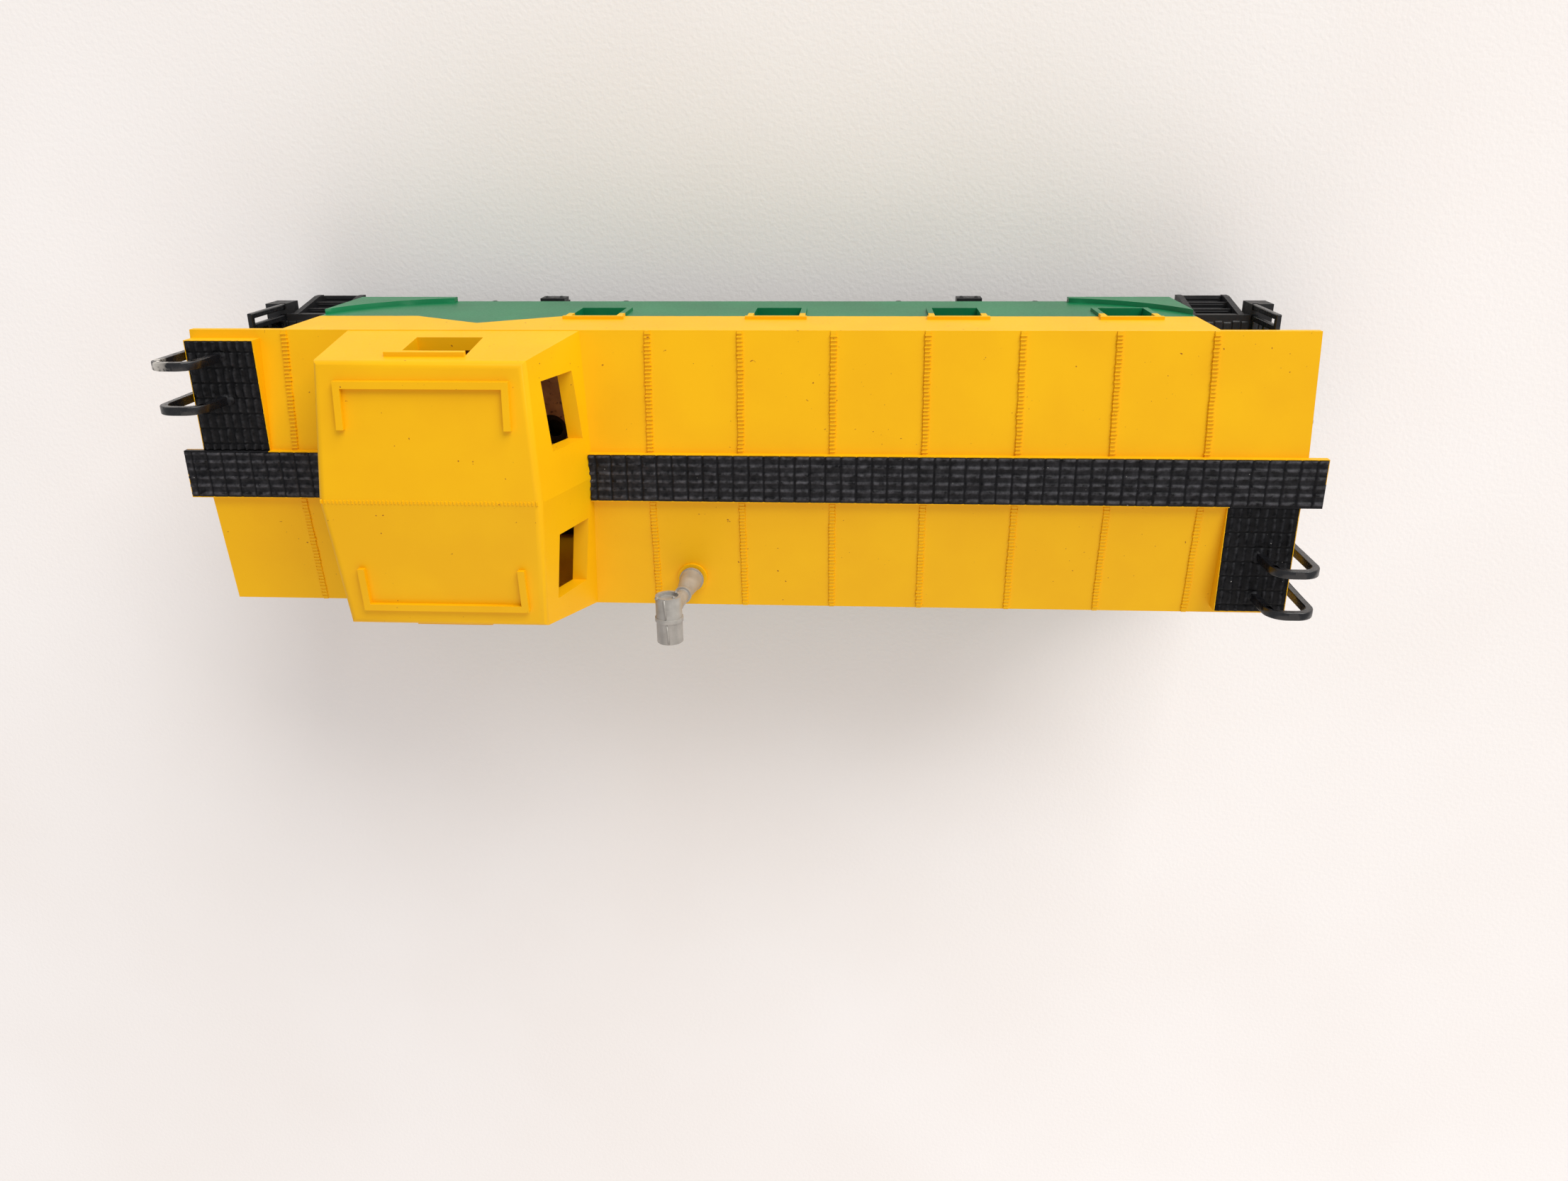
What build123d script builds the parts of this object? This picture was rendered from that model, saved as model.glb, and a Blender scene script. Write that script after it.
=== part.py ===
from build123d import *
import os

os.makedirs("parts", exist_ok=True)

# HO scale (1:87.1) eight-wheel railway caboose with a full-width cupola.
# Frame: +Z up, +X towards the end away from the cupola (the B end).
# Origin: middle of the car, on the plane that the wheel flanges stand on.

# Driving dimensions, mm
ROOF_HALF = 66.0            # roof half length
BODY_HALF = 55.0            # half length over the end walls
HALF_WIDTH = 17.15          # sides and eaves are flush
SILL_Z = 11.4               # bottom edge of the sides
EAVE_Z = 36.9
RIDGE_RISE = 2.05
WALL = 1.2
TRUCK_X = 28.8              # truck pivots from the middle of the car
AXLE_OFFSET = 9.5           # axles from their truck's pivot
TREAD_R = 4.8
FLANGE_R = 5.4
AXLE_Z = FLANGE_R
BACK_TO_BACK = 14.4         # between the inner faces of a wheel pair, for 16.5 mm gauge
WHEEL_WIDTH = 2.8
COUPLER_Z = 10.4            # coupler centre line
COUPLER_PIVOT_X = 62.6
FIT = 0.06                  # radial clearance of a running fit

ENDS = (("a", -1), ("b", 1))


def box(x0, x1, y0, y1, z0, z1):
    """A box between two values on each axis."""
    centre = Location(((x0 + x1) / 2, (y0 + y1) / 2, (z0 + z1) / 2))
    return centre * Box(abs(x1 - x0), abs(y1 - y0), abs(z1 - z0))


def rod(start, end, radius):
    """A round bar from one point to another."""
    a, b = Vector(*start), Vector(*end)
    plane = Plane(origin=a, z_dir=(b - a).normalized())
    return extrude(plane * Circle(radius), (b - a).length)


def prism_x(points, x0, x1):
    """A (y, z) outline extruded along X."""
    outline = Plane.YZ.offset(x0) * make_face(Polyline(*points, close=True))
    return extrude(outline, x1 - x0)


def plate_y(face_xz, y0, y1):
    """A face drawn in (x, z) extruded along Y."""
    plane = Plane(origin=(0, y0, 0), x_dir=(1, 0, 0), z_dir=(0, -1, 0))
    return extrude(plane * face_xz, -(y1 - y0))


def convex(faces):
    """A closed solid from its flat faces, each a list of points."""
    return Solid(Shell([Face(Wire.make_polygon(f, close=True)) for f in faces]))


def mirror_y(shape):
    return shape.mirror(Plane.XZ)


def to_end(shape, side):
    """The B end's piece, or the same piece turned round for the A end."""
    return shape if side > 0 else Rot(0, 0, 180) * shape


def write(name, shape):
    export_step(shape, f"parts/{name}.step")


# ---- Body shell: sides, ends, roof, cupola, roof walk and corner platforms, one moulding ----

WALK_HALF = 2.94
WALK_TOP = EAVE_Z + 2.55
WALK_OVERHANG = 2.1
PLATFORM_IN = 57.4          # inner edge of the corner platforms
PLATFORM_TOP = EAVE_Z + 2.1
SEAM_PITCH = 10.88
CUPOLA_BASE = (-46.6, -18.9)
CUPOLA_EAVE = (-45.95, -22.45)
CUPOLA_EAVE_Y = 15.5
CUPOLA_EAVE_RISE = 11.9
CUPOLA_RIDGE_RISE = 13.45
CUPOLA_BOW = (1.25, 1.65)   # end walls bow out by this at the middle
WINDOW_X = (-19.1, 3.6, 25.9, 46.7)
WINDOW_W, WINDOW_H = 5.7, 6.9
WINDOW_TOP = EAVE_Z - 9.3
CUPOLA_SIDE_X = -33.4
SMOKEJACK_AT = (-6.5, -13.3)
STEM_R = 1.0
FLOOR_LOW, FLOOR_TOP = 12.8, 14.0


def roof_z(y):
    return EAVE_Z + RIDGE_RISE * (1 - abs(y) / HALF_WIDTH)


def cupola_hull(inset):
    """The cupola with its six walls and two roof slopes, moved in by a wall thickness."""
    base_z = EAVE_Z - (0.6 if inset == 0 else 3.0)
    w = HALF_WIDTH - inset
    eave_y = CUPOLA_EAVE_Y - inset
    eave_z = EAVE_Z + CUPOLA_EAVE_RISE - inset
    ridge_z = EAVE_Z + CUPOLA_RIDGE_RISE - inset
    ring = {}
    for side, k in ((-1, 0), (1, 1)):
        x_base = CUPOLA_BASE[k] - side * inset
        x_eave = CUPOLA_EAVE[k] - side * inset
        # the plane x = x0 + lean * z + bow * |y| of this end's two half walls
        bow = -side * CUPOLA_BOW[k] / HALF_WIDTH
        rise = eave_z - EAVE_Z
        lean = (x_eave - x_base - bow * (eave_y - w)) / rise
        taper = (w - eave_y) / rise
        y_base = w + taper * (EAVE_Z - base_z) if inset else HALF_WIDTH

        def at(y, z):
            return x_base + lean * (z - EAVE_Z) + bow * (abs(y) - w)

        ring[side] = [
            (at(y, z), y, z) for y, z in (
                (-y_base, base_z), (0, base_z), (y_base, base_z),
                (-eave_y, eave_z), (0, ridge_z), (eave_y, eave_z))]
    a, b = ring[-1], ring[1]
    faces = [
        [a[0], a[1], a[2], b[2], b[1], b[0]],
        [a[0], a[1], a[4], a[3]], [a[1], a[2], a[5], a[4]],
        [b[0], b[1], b[4], b[3]], [b[1], b[2], b[5], b[4]],
        [a[0], b[0], b[3], a[3]], [a[2], b[2], b[5], a[5]],
        [a[3], a[4], b[4], b[3]], [a[5], a[4], b[4], b[5]]]
    return convex(faces)


def gable(half_w, low_z, drop):
    """House section: flat bottom and the roof's two slopes, lowered by drop."""
    return [(-half_w, low_z), (half_w, low_z), (half_w, roof_z(half_w) - drop),
            (0, roof_z(0) - drop), (-half_w, roof_z(half_w) - drop)]


def hooded_window(x, z_top, width, height, proud, y_face):
    """Raised trim round a window: a hood bar over two jambs and a sill, standing on the wall's face."""
    z_low = z_top - height
    half = width / 2
    trim = box(x - half - 0.95, x + half + 0.95, y_face - 0.5, y_face + proud, z_top, z_top + 0.7)
    for side in (-1, 1):
        jamb_x = x + side * (half + 0.35)
        trim += box(jamb_x - 0.35, jamb_x + 0.35, y_face - 0.5, y_face + proud, z_low, z_top)
    trim += box(x - half - 0.7, x + half + 0.7, y_face - 0.5, y_face + proud, z_low - 0.5, z_low)
    return trim


def corner_fairing(side):
    """The raised panel that curves up towards the corner, on the lower edge of the side."""
    inner, edge = 41.6, BODY_HALF
    outline = [
        Line((inner, SILL_Z), (inner, SILL_Z + 1.4)),
        ThreePointArc((inner, SILL_Z + 1.4), (50.4, SILL_Z + 6.0), (edge, SILL_Z + 12.4)),
        Line((edge, SILL_Z + 12.4), (edge, SILL_Z)),
        Line((edge, SILL_Z), (inner, SILL_Z))]
    plate = plate_y(make_face(outline), HALF_WIDTH - 0.5, HALF_WIDTH + 0.6)
    return plate if side > 0 else plate.mirror(Plane.YZ)


def end_wall_trim():
    """Door frame and window frames of the B end wall."""
    x = BODY_HALF
    frame = box(x - 0.3, x + 0.45, -3.9, 3.9, SILL_Z + 1.9, SILL_Z + 19.9)
    frame -= box(x, x + 1, -3.2, 3.2, SILL_Z + 1.9, SILL_Z + 19.2)
    for y in (-10.6, 10.6):
        frame += box(x - 0.3, x + 0.35, y - 3.1, y + 3.1, SILL_Z + 10.0, SILL_Z + 17.6)
    return frame


def body_shell():
    shell = prism_x(gable(HALF_WIDTH, SILL_Z, 0), -BODY_HALF, BODY_HALF)
    eave_lip = 1.0
    roof = prism_x(gable(HALF_WIDTH, EAVE_Z - eave_lip, 0), -ROOF_HALF, ROOF_HALF)
    under = prism_x(gable(HALF_WIDTH - 1.0, EAVE_Z - eave_lip - 1, WALL), -ROOF_HALF + 0.9, ROOF_HALF - 0.9)
    roof -= under
    shell += roof

    # roof seams, one rib on each slope at every sheet joint outside the cupola
    for k in range(-5, 6):
        x = k * SEAM_PITCH
        if x < CUPOLA_BASE[0] - 2 or x > CUPOLA_BASE[1] + 2:
            rib = [(-HALF_WIDTH, EAVE_Z - 0.3), (HALF_WIDTH, EAVE_Z - 0.3), (HALF_WIDTH, EAVE_Z + 0.14),
                   (0, roof_z(0) + 0.14), (-HALF_WIDTH, EAVE_Z + 0.14)]
            shell += prism_x(rib, x - 0.3, x + 0.3)

    # roof walk along the ridge and a platform at one corner of each end
    walk_half = ROOF_HALF + WALK_OVERHANG
    shell += box(-walk_half, walk_half, -WALK_HALF, WALK_HALF, WALK_TOP - 0.9, WALK_TOP)
    shell += box(-ROOF_HALF, ROOF_HALF, -WALK_HALF, WALK_HALF, EAVE_Z + 0.6, WALK_TOP)
    platform_y = (-HALF_WIDTH + 0.95, -WALK_HALF + 0.2)
    platform = box(PLATFORM_IN, ROOF_HALF - 0.2, *platform_y, EAVE_Z - 0.2, PLATFORM_TOP)
    for _, side in ENDS:
        shell += to_end(platform, side)

    cupola = cupola_hull(0)
    top_edges = cupola.edges().filter_by(lambda e: e.center().Z > EAVE_Z + CUPOLA_EAVE_RISE - 0.5)
    top_edges = top_edges.filter_by(lambda e: abs(e.center().Y) > 1)
    shell += fillet(top_edges, 0.9)
    shell += smokejack_boss()

    # side trim and end trim
    for x in WINDOW_X:
        trim = hooded_window(x, WINDOW_TOP, WINDOW_W, WINDOW_H, 0.38, HALF_WIDTH)
        shell += trim
        shell += mirror_y(trim)
    for side in (-1, 1):
        shell += corner_fairing(side)
        shell += mirror_y(corner_fairing(side))
        shell += to_end(end_wall_trim(), side)
    shell += cupola_trim()

    # hollow inside, then the openings
    shell -= prism_x(gable(HALF_WIDTH - WALL, SILL_Z - 1, WALL), -BODY_HALF + WALL, BODY_HALF - WALL)
    shell -= cupola_hull(1.5)
    # the underframe's end platforms pass under the end walls
    shell -= box(-BODY_HALF - 1, BODY_HALF + 1, -15.7, 15.7, SILL_Z - 1, FLOOR_TOP + 0.1)
    for x in WINDOW_X:
        shell -= box(x - WINDOW_W / 2, x + WINDOW_W / 2, -30, 30, WINDOW_TOP - WINDOW_H, WINDOW_TOP)
    shell -= box(CUPOLA_SIDE_X - 3.9, CUPOLA_SIDE_X + 3.9, -30, 30, EAVE_Z + 2.7, EAVE_Z + 9.3)
    for y in (-8.95, 8.95):
        shell -= box(-60, -12, y - 4.0, y + 4.0, EAVE_Z + 2.9, EAVE_Z + 9.3)
    for _, side in ENDS:
        door_light = box(BODY_HALF - 3, BODY_HALF + 3, -1.9, 1.9, SILL_Z + 10.5, SILL_Z + 17.0)
        end_lights = box(BODY_HALF - 3, BODY_HALF + 3, 8.2, 13.0, SILL_Z + 10.7, SILL_Z + 16.9)
        shell -= to_end(door_light, side)
        shell -= to_end(end_lights, side)
        shell -= to_end(mirror_y(end_lights), side)
    shell -= Pos(*SMOKEJACK_AT, EAVE_Z) * Cylinder(STEM_R + 0.05, 12)
    return shell


def smokejack_boss():
    return Pos(*SMOKEJACK_AT, EAVE_Z + 0.25) * Cylinder(1.85, 1.5)


def cupola_trim():
    """Two moulded grab rails on the cupola roof, and a hood bar over each side window."""
    top = EAVE_Z + CUPOLA_EAVE_RISE
    slope = (CUPOLA_RIDGE_RISE - CUPOLA_EAVE_RISE) / CUPOLA_EAVE_Y
    lean = (HALF_WIDTH - CUPOLA_EAVE_Y) / CUPOLA_EAVE_RISE
    trim = None

    def roof_top(y):
        return EAVE_Z + CUPOLA_RIDGE_RISE - slope * abs(y)

    def wall_y(z):
        return HALF_WIDTH - lean * (z - EAVE_Z)

    for x in (-43.3, -24.5):
        leg = [(8.2, roof_top(8.2) - 0.4), (13.5, roof_top(13.5) - 0.4),
               (13.5, roof_top(13.5) + 0.6), (8.2, roof_top(8.2) + 0.6)]
        piece = prism_x(leg, x - 0.4, x + 0.4)
        trim = piece if trim is None else trim + piece
    bar = [(12.7, roof_top(12.7) - 0.4), (13.5, roof_top(13.5) - 0.4),
           (13.5, roof_top(13.5) + 0.6), (12.7, roof_top(12.7) + 0.6)]
    trim += prism_x(bar, -43.7, -24.1)
    z0, z1 = top - 2.5, top - 1.9
    hood = [(wall_y(z0) - 0.6, z0), (wall_y(z0) + 0.5, z0),
            (wall_y(z1) + 0.5, z1), (wall_y(z1) - 0.6, z1)]
    trim += prism_x(hood, CUPOLA_SIDE_X - 5.2, CUPOLA_SIDE_X + 3.9)
    return trim + mirror_y(trim)


write("body_shell", body_shell())


# ---- Smokejack: flange, flared pipe, collar and a T-shaped cap, pushed into the roof boss ----

def smokejack():
    base_z = EAVE_Z + 1.0
    stem = Pos(0, 0, -2.0) * Cylinder(STEM_R, 4.0)
    flange = Pos(0, 0, 0.42) * Cylinder(1.5, 0.4)
    flare = Pos(0, 0, 3.1) * Cone(1.42, 0.85, 5.2)
    pipe = Pos(0, 0, 8.4) * Cone(0.85, 0.75, 8.0)
    collar = Pos(0, 0, 5.6) * Cylinder(1.05, 0.6)
    cap_z = 13.0
    cap = Pos(0, 0, cap_z) * Rot(90, 0, 4) * Cylinder(1.5, 5.6)
    cap += Pos(0, 0, cap_z) * Rot(90, 0, 4) * Cylinder(1.62, 0.5)
    for side in (-1, 1):
        cap -= Pos(0, side * 2.7, cap_z) * Rot(90, 0, 4) * Cylinder(1.15, 0.6)
    upright = flange + flare + pipe + collar + cap
    lean = -4.0
    return Pos(*SMOKEJACK_AT, base_z) * (stem + Rot(0, lean, 0) * upright)


write("smokejack", smokejack())


# ---- Underframe: floor, sills, end platforms, step wells, pivot pads and coupler boxes, one moulding ----

DECK_LOW, DECK_TOP = 11.7, 13.0
BEAM_IN, BEAM_OUT = 65.4, 68.3
KINGPIN_R = 1.2
STEP_X = (57.7, 64.7)
STEP_LOW = EAVE_Z - 33.0
BOX_LOW, BOX_TOP = 9.3, 11.7      # inside height of the coupler box


def step_well(y_side):
    """Two slanted stringers with three treads and a back riser between them."""
    x0, x1 = STEP_X
    profile = [(13.2, STEP_LOW), (17.1, STEP_LOW), (17.1, STEP_LOW + 1.4),
               (15.6, DECK_TOP), (11.4, DECK_TOP)]
    well = prism_x(profile, x0, x0 + 0.8)
    well += prism_x(profile, x1 - 0.8, x1)
    rise = (DECK_LOW - STEP_LOW) / 3
    for k in range(3):
        z = STEP_LOW + k * rise
        out = 17.0 - 0.55 * k
        well += box(x0 + 0.2, x1 - 0.2, out - 2.7, out, z, z + 0.6)
        well += box(x0 + 0.2, x1 - 0.2, out - 3.2, out - 2.7, z, z + rise + 0.2)
    return well if y_side > 0 else mirror_y(well)


def underframe():
    half_x, half_y = BODY_HALF - 1.6, HALF_WIDTH - 1.5
    floor = box(-half_x, half_x, -half_y, half_y, FLOOR_LOW, FLOOR_TOP)
    floor += box(-60, 60, -2.2, 2.2, 10.6, FLOOR_LOW + 0.1)
    for side in (-1, 1):
        # needle beams, air reservoir and brake cylinder slung under the floor
        floor += box(side * 9.0 - 0.6, side * 9.0 + 0.6, -13.0, 13.0, 10.9, FLOOR_LOW + 0.1)
        floor += Pos(side * TRUCK_X, 0, 11.9) * Cylinder(3.4, 2.4)
    floor += Pos(0, 7.4, 9.9) * Rot(0, 90, 0) * Cylinder(2.4, 15.0)
    floor += box(-4.5, 4.5, 6.9, 7.9, 10.5, FLOOR_LOW + 0.1)
    floor += Pos(0.5, -7.2, 10.0) * Rot(0, 90, 0) * Cylinder(2.1, 9.0)
    floor += box(-3.0, 3.0, -7.7, -6.7, 10.5, FLOOR_LOW + 0.1)
    floor += rod((4.5, -7.2, 10.0), (8.6, -7.2, 10.0), 0.5)

    end = box(BODY_HALF - 2.5, BEAM_OUT, -2.2, 2.2, DECK_LOW, FLOOR_TOP - 0.4)
    end += box(BODY_HALF + 0.3, BEAM_OUT, -15.6, 15.6, DECK_LOW, DECK_TOP)
    end += box(BODY_HALF - 2.5, BODY_HALF + 1.0, -11.0, 11.0, DECK_LOW, FLOOR_LOW + 0.2)
    end += box(BEAM_IN, BEAM_OUT, -17.0, 17.0, 9.3, DECK_TOP)
    for y_side in (-1, 1):
        end += step_well(y_side)
    # coupler box: roof, side walls and a pivot post, open at the front and closed below by its lid
    end += box(59.4, BEAM_OUT + 0.5, -3.9, 3.9, BOX_LOW, BOX_TOP + 0.1)
    end -= box(60.0, BEAM_OUT + 1.0, -3.0, 3.0, BOX_LOW - 1, BOX_TOP)
    end += Pos(COUPLER_PIVOT_X, 0, (BOX_LOW + BOX_TOP) / 2) * Cylinder(1.0, BOX_TOP - BOX_LOW)
    for _, side in ENDS:
        floor += to_end(end, side)
    for side in (-1, 1):
        floor -= Pos(side * TRUCK_X, 0, 12) * Cylinder(KINGPIN_R, 8)
        floor -= Pos(side * SCREW_X, 0, 12) * Cylinder(0.75, 8)
        floor -= Pos(side * COUPLER_PIVOT_X, 0, BOX_LOW) * Cylinder(0.5, 3.0)
        for y in (-LADDER_SPREAD, LADDER_SPREAD):
            foot = (side * LADDER_X, -side * LADDER_Y + y, DECK_TOP)
            floor -= Pos(*foot) * Box(1.1, 1.2, 1.2)
        for y in RAIL_POST_Y:
            for y_side in (-1, 1):
                floor -= Pos(side * RAIL_X, y_side * y, DECK_TOP) * Box(0.8, 0.8, 1.2)
        floor -= Pos(side * STAFF_X, side * STAFF_Y, DECK_TOP) * Cylinder(0.5, 2.0)
    return floor


SCREW_X = 46.0
LADDER_X = 66.85            # stiles stand just outside the roof's end
LADDER_Y = 11.65
LADDER_SPREAD = 2.55
RAIL_X = 65.98
RAIL_POST_Y = (4.4, 15.2, 16.6)
STAFF_X, STAFF_Y = 67.4, 8.6

write("underframe", underframe())


# ---- Steel weight plate, screwed to the floor, with a clearance hole over each pivot ----

def weight():
    plate = box(-49.5, 49.5, -13.6, 13.6, FLOOR_TOP, FLOOR_TOP + 1.6)
    for side in (-1, 1):
        plate -= Pos(side * TRUCK_X, 0, FLOOR_TOP) * Cylinder(2.25, 6)
        plate -= Pos(side * SCREW_X, 0, FLOOR_TOP) * Cylinder(1.0, 6)
    return fillet(plate.edges().filter_by(Axis.Z).filter_by(lambda e: abs(e.center().X) > 49), 2.0)


write("weight_plate", weight())


def screw(radius, length, head_r, head_h):
    """A pan-head screw: head at the origin pointing +Z, shank towards -Z, cross slot in the head."""
    body = Pos(0, 0, head_h / 2) * Cylinder(head_r, head_h)
    body = fillet(body.edges().group_by(Axis.Z)[-1], head_h * 0.45)
    for turn in (0, 90):
        body -= Pos(0, 0, head_h) * Rot(0, 0, turn) * Box(head_r * 1.2, head_r * 0.22, head_h * 0.9)
    return body + Pos(0, 0, -length / 2) * Cylinder(radius, length)


weight_screw = Pos(0, 0, FLOOR_TOP + 1.6) * screw(0.75, 2.8, 1.7, 0.8)
weight_screws = [Pos(side * SCREW_X, 0, 0) * weight_screw for side in (-1, 1)]
write("weight_screws", Compound(children=weight_screws))


# ---- End ladders: two stiles with rungs, the stiles arched over the roof's end onto the platform ----

def ladder():
    stile_w, stile_t = 1.0, 0.9
    foot_x, arch_z = 61.9, EAVE_Z + 8.1
    ladder_solid = None
    for y in (-LADDER_Y - LADDER_SPREAD, -LADDER_Y + LADDER_SPREAD):
        path = FilletPolyline((LADDER_X, y, DECK_TOP - 0.5), (LADDER_X, y, arch_z),
                              (foot_x + 0.2, y, arch_z), (foot_x, y, PLATFORM_TOP), radius=1.9)
        section = Plane(origin=(LADDER_X, y, DECK_TOP - 0.5)) * Rectangle(stile_t, stile_w)
        stile = sweep(section, path=path)
        ladder_solid = stile if ladder_solid is None else ladder_solid + stile
    rung_count = 6
    for k in range(rung_count):
        z = DECK_TOP + 3.0 + k * 3.6
        ends_y = (-LADDER_Y - LADDER_SPREAD, -LADDER_Y + LADDER_SPREAD)
        ladder_solid += rod((LADDER_X, ends_y[0], z), (LADDER_X, ends_y[1], z), 0.32)
    return ladder_solid


# ---- End railing: posts and three rails on each side of the gangway ----

def railing(y_side):
    """One half: the inner and outer corner posts, the gangway post and the rails between them."""
    top_z = EAVE_Z - 14.6
    half = 0.36
    x0, x1 = RAIL_X - half, RAIL_X + half
    gangway_y, outer_y = (y_side * (RAIL_POST_Y[0] - half), y_side * (RAIL_POST_Y[-1] + half))
    corner_y = y_side * RAIL_POST_Y[1]
    rail = box(x0, x1, gangway_y, outer_y, top_z - 0.7, top_z)
    for y in RAIL_POST_Y:
        rail += box(x0, x1, y_side * y - half, y_side * y + half, DECK_TOP - 0.5, top_z)
    rail += box(x0, x1, gangway_y, corner_y, top_z - 4.9, top_z - 4.3)
    rail += box(x0, x1, gangway_y, corner_y, DECK_TOP, DECK_TOP + 0.6)
    return rail


# ---- Brake wheel: spoked hand wheel on an upright staff, pushed into the end deck ----

def brake_wheel():
    wheel_z = EAVE_Z - 12.6
    rim_r = 2.6
    staff = rod((STAFF_X, STAFF_Y, DECK_TOP - 0.8), (STAFF_X, STAFF_Y, wheel_z), 0.42)
    wheel = Pos(STAFF_X, STAFF_Y, wheel_z) * Torus(rim_r, 0.36)
    for turn in range(5):
        spoke = box(0, rim_r, -0.25, 0.25, -0.22, 0.22)
        wheel += Pos(STAFF_X, STAFF_Y, wheel_z) * Rot(0, 0, 72 * turn) * spoke
    return staff + wheel + Pos(STAFF_X, STAFF_Y, wheel_z) * Cylinder(0.8, 0.9)


for end, side in ENDS:
    write(f"end_ladder_{end}", to_end(ladder(), side))
    for hand, y_side in (("left", 1), ("right", -1)):
        write(f"end_railing_{end}_{hand}", to_end(railing(y_side), side))
    write(f"brake_wheel_{end}", to_end(brake_wheel(), side))


# ---- Trucks: one moulding with two sideframes and a bolster, held by a kingpin screw ----

BOLSTER_LOW, BOLSTER_TOP = 7.9, 10.5
FRAME_IN, FRAME_OUT = 12.2, 14.2
PIN_R = 0.5
PIN_END = 13.6


def sideframe():
    """The +Y sideframe about the truck's centre: bars, pedestals, journal boxes and leaf spring."""
    half = [(12.4, 6.6), (12.4, 9.0), (11.6, 9.9), (4.2, 9.9), (3.4, 10.3)]
    lower = [(4.0, 3.4), (6.6, 6.6)]
    outline = half + [(-x, z) for x, z in reversed(half)] + [(-x, z) for x, z in reversed(lower)] + lower
    frame = plate_y(make_face(Polyline(*outline, close=True)), FRAME_IN, FRAME_OUT)
    for side in (-1, 1):
        slot = [(side * 2.2, 5.0), (side * 4.2, 5.0), (side * 6.4, 8.0),
                (side * 6.4, 8.7), (side * 2.2, 8.7)]
        frame -= plate_y(make_face(Polyline(*slot, close=True)), FRAME_IN - 1, FRAME_OUT + 1)
        x = side * AXLE_OFFSET
        frame += box(x - 2.0, x + 2.0, FRAME_IN, FRAME_OUT, 3.2, 7.0)
        journal = box(x - 1.6, x + 1.6, FRAME_OUT - 0.2, FRAME_OUT + 1.9, 3.4, 7.4)
        journal = chamfer(journal.faces().sort_by(Axis.Y)[-1].edges(), 0.35)
        frame += journal
        frame += box(x - 1.9, x + 1.9, FRAME_OUT - 0.2, FRAME_OUT + 0.5, 7.0, 7.9)
    # leaf spring between the bars: stacked leaves, shorter towards the top, with a band round the middle
    for k in range(4):
        half = 4.6 - 0.7 * k
        frame += box(-half, half, FRAME_OUT - 0.3, FRAME_OUT + 1.6, 4.0 + 0.75 * k, 4.6 + 0.75 * k)
    frame += box(-1.1, 1.1, FRAME_OUT - 0.3, FRAME_OUT + 2.2, 3.8, 7.2)
    # bolster end standing out over the band
    frame += box(-1.7, 1.7, FRAME_OUT - 0.3, 17.3, 7.0, 9.6)
    frame += box(-2.4, 2.4, FRAME_OUT - 0.3, FRAME_OUT + 1.4, 8.2, 9.9)
    return frame


def truck_frame():
    frame = sideframe()
    frame += mirror_y(frame)
    bolster_half_y = FRAME_IN + 0.5
    frame += box(-2.6, 2.6, -bolster_half_y, bolster_half_y, BOLSTER_LOW, BOLSTER_TOP - 0.5)
    frame += Pos(0, 0, (BOLSTER_LOW + BOLSTER_TOP) / 2) * Cylinder(3.4, BOLSTER_TOP - BOLSTER_LOW)
    frame -= Cylinder(KINGPIN_R + FIT, 40)
    for side in (-1, 1):
        x, end_y = side * AXLE_OFFSET, PIN_END + 0.15
        frame -= rod((x, -end_y, AXLE_Z), (x, end_y, AXLE_Z), PIN_R + FIT)
    return frame


def kingpin():
    length = FLOOR_TOP - BOLSTER_LOW - 1.5
    return Pos(0, 0, BOLSTER_LOW - 0.1) * Rot(180, 0, 0) * screw(KINGPIN_R, length, 2.3, 1.1)


def axle():
    """Steel axle with turned-down pins at both ends."""
    shoulder = FRAME_IN - 0.3
    bar = rod((0, -shoulder, AXLE_Z), (0, shoulder, AXLE_Z), 1.0)
    return bar + rod((0, -PIN_END, AXLE_Z), (0, PIN_END, AXLE_Z), PIN_R)


def wheel():
    """The +Y wheel: flange inside, coned tread, dished plate and a hub bored for the axle."""
    inner = BACK_TO_BACK / 2
    outer = inner + WHEEL_WIDTH
    flange = 0.75
    outline = [(1.0, inner), (2.1, inner), (2.5, inner + 0.7), (3.9, inner + 0.7), (4.1, inner),
               (FLANGE_R - 0.15, inner), (FLANGE_R, inner + 0.2), (FLANGE_R - 0.1, inner + flange * 0.6),
               (TREAD_R + 0.1, inner + flange), (TREAD_R, inner + flange + 0.15),
               (TREAD_R - 0.08, outer), (4.1, outer), (3.9, outer - 0.9),
               (2.3, outer - 1.1), (2.1, outer + 0.2), (1.0, outer + 0.2)]
    profile = Plane.XY * make_face(Polyline(*outline, close=True))
    return Pos(0, 0, AXLE_Z) * revolve(profile, Axis.Y)


for end, side in ENDS:
    write(f"truck_frame_{end}", Pos(side * TRUCK_X, 0, 0) * truck_frame())
    write(f"kingpin_{end}", Pos(side * TRUCK_X, 0, 0) * kingpin())
    for place, axle_side in (("outer", side), ("inner", -side)):
        at = Pos(side * TRUCK_X + axle_side * AXLE_OFFSET, 0, 0)
        write(f"axle_{end}_{place}", at * axle())
        write(f"wheel_{end}_{place}_left", at * wheel())
        write(f"wheel_{end}_{place}_right", at * mirror_y(wheel()))


# ---- Couplers: a one-piece hook knuckle on a pivot post, with a leaf spring, lid and lid screw ----

SHANK_H = 1.7


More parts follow.
